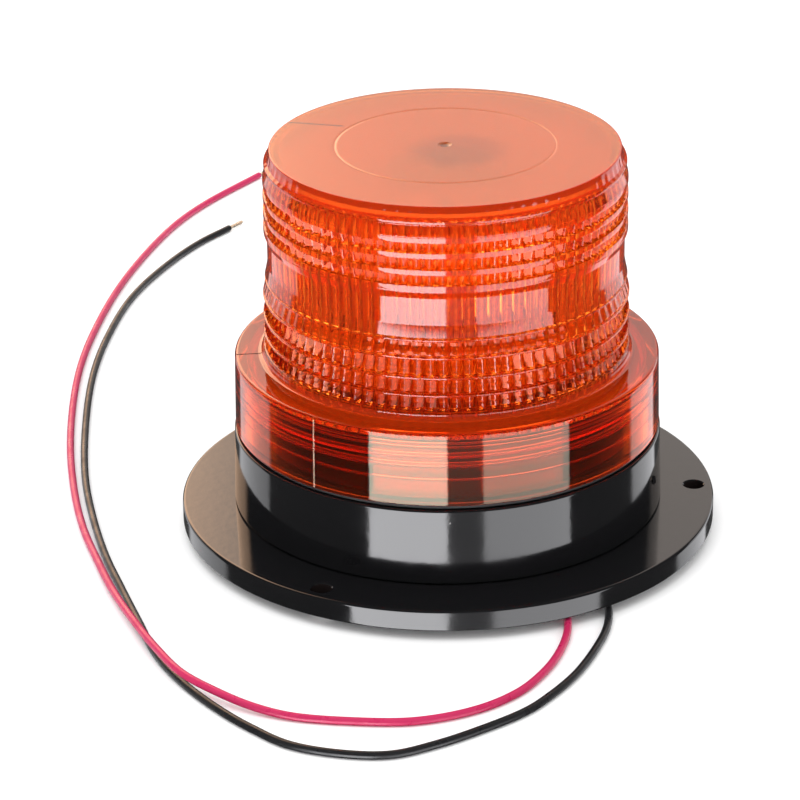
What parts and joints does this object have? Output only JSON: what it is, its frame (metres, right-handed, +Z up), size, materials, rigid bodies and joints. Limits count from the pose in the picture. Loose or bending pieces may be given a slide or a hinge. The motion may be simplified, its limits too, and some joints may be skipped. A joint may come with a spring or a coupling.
{
  "type": "barricade warning light",
  "caption": "Surface-mount amber warning beacon: ribbed screw-on lens on a black round housing and drilled mounting flange, with a red and a black lead.",
  "frame": {"origin": "centre of the mounting flange on the surface that the foot pads stand on", "axes": "+Z up along the lamp's axis out through the lens top; -Y is the side under which the leads come out; +X passes through a mounting hole"},
  "size_m": [0.1644, 0.3654, 0.0969],
  "materials": {
    "amber_lens": "clear moulded amber, glossy",
    "black_plastic": "glossy moulded",
    "black_rubber": "matt",
    "white_plastic": "satin",
    "board_green": "solder mask",
    "board_white": "white solder mask",
    "screw_steel": "zinc plated",
    "tower_aluminium": "extruded, satin",
    "led_yellow": "phosphor under clear resin",
    "chip_black": "moulded epoxy",
    "ferrite": "matt sintered",
    "terminal_green": "satin",
    "red_pvc": "smooth flexible insulation",
    "black_pvc": "smooth flexible insulation",
    "tinned_copper": "twisted strands"
  },
  "bodies": {
    "lamp_base": {"mounting_flange": "black_plastic", "foot_pad_1": "black_rubber", "foot_pad_2": "black_rubber", "foot_pad_3": "black_rubber", "flange_screw_1": "screw_steel", "flange_screw_2": "screw_steel", "flange_screw_3": "screw_steel", "cable_grommet": "black_rubber", "base_housing": "black_plastic", "driver_board": "board_green", "board_screw_1": "screw_steel", "board_screw_2": "screw_steel", "board_screw_3": "screw_steel", "reflector_dish": "white_plastic", "filter_capacitor": "chip_black", "power_inductor": "ferrite", "driver_chip": "chip_black", "power_transistor": "chip_black", "reverse_diode": "chip_black", "terminal_block": "terminal_green", "led_tower": "tower_aluminium", "led_strip_1": "board_white", "led_strip_2": "board_white", "led_strip_3": "board_white", "led_strip_4": "board_white", "led_strip_5": "board_white", "led_strip_6": "board_white", "led_1_low": "led_yellow", "led_1_high": "led_yellow", "led_2_low": "led_yellow", "led_2_high": "led_yellow", "led_3_low": "led_yellow", "led_3_high": "led_yellow", "led_4_low": "led_yellow", "led_4_high": "led_yellow", "led_5_low": "led_yellow", "led_5_high": "led_yellow", "led_6_low": "led_yellow", "led_6_high": "led_yellow", "top_board": "board_white", "tower_screw": "screw_steel", "top_led_1": "led_yellow", "top_led_2": "led_yellow", "top_led_3": "led_yellow", "red_lead": "red_pvc", "black_lead": "black_pvc", "red_strands": "tinned_copper", "black_strands": "tinned_copper", "red_tail": "red_pvc", "black_tail": "black_pvc"},
    "seal_ring": {"lens_seal": "black_rubber"},
    "lens": {"lens": "amber_lens"}
  },
  "joints": [
    {"name": "lens_twist", "type": "hinge", "parent": "lamp_base", "child": "seal_ring", "pos_m": [0, 0, 0.0264], "axis": [0, 0, 1], "range_deg": [0, 1170]},
    {"name": "lens_lift", "type": "slide", "parent": "seal_ring", "child": "lens", "axis": [0, 0, 1], "range_m": [0, 0.0078]}
  ],
  "couplings": [
    {"joint": "lens_lift", "follows": "lens_twist", "m_per_rad": 0.00038197}
  ]
}
